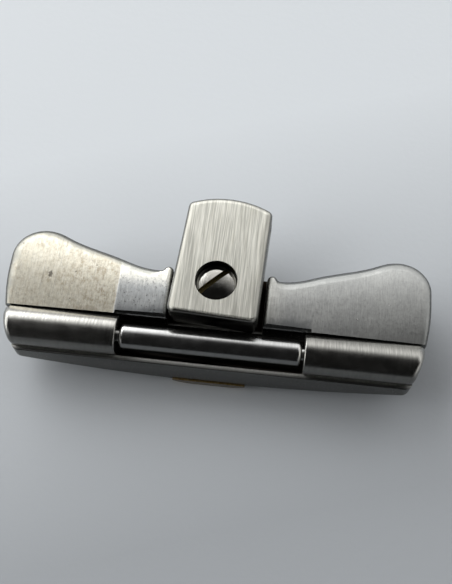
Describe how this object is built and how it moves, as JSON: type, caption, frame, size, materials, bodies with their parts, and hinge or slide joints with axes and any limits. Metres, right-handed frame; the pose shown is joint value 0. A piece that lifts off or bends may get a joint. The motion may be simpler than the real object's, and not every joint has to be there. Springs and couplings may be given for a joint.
{
  "type": "watch bracelet end link",
  "caption": "Winged steel end link of a watch bracelet: screwed centre tongue, sprung bar held between round barrels, gold-coloured centre cap underneath.",
  "frame": {"origin": "middle of the spring bar's axis", "axes": "+X along the spring bar, +Y from the bar towards the tip of the tongue, +Z out of the link's underside, which faces up"},
  "size_m": [0.0252, 0.0106, 0.0046],
  "materials": {
    "body_steel": "satin, worn",
    "barrel_steel": "satin",
    "tongue_steel": "brushed along its length",
    "screw_steel": "polished",
    "cap_gold": "gold-coloured, satin",
    "bar_steel": "fine satin",
    "tip_steel": "turned",
    "spring_wire": "drawn wire"
  },
  "bodies": {
    "link": {"link_body": "body_steel", "left_barrel": "barrel_steel", "right_barrel": "barrel_steel", "centre_tongue": "tongue_steel", "centre_cap": "cap_gold"},
    "screw": {"tongue_screw": "screw_steel"},
    "bar": {"bar_tube": "bar_steel", "bar_spring": "spring_wire"},
    "left_bar_tip": {"left_tip": "tip_steel"},
    "right_bar_tip": {"right_tip": "tip_steel"}
  },
  "joints": [
    {"name": "screw_turn", "type": "hinge", "parent": "link", "child": "screw", "pos_m": [0, 0.00347, 0], "axis": [0, 0, 1], "continuous": true},
    {"name": "bar_spin", "type": "hinge", "parent": "link", "child": "bar", "pos_m": [0, 0, 0], "axis": [1, 0, 0], "continuous": true},
    {"name": "left_tip_press", "type": "slide", "parent": "bar", "child": "left_bar_tip", "axis": [1, 0, 0], "range_m": [0, 0.00085], "stiffness_N_per_m": 600, "springref_m": -0.001, "deforming": ["bar_spring"]},
    {"name": "right_tip_press", "type": "slide", "parent": "bar", "child": "right_bar_tip", "axis": [-1, 0, 0], "range_m": [0, 0.00085], "stiffness_N_per_m": 600, "springref_m": -0.001, "deforming": ["bar_spring"]}
  ]
}
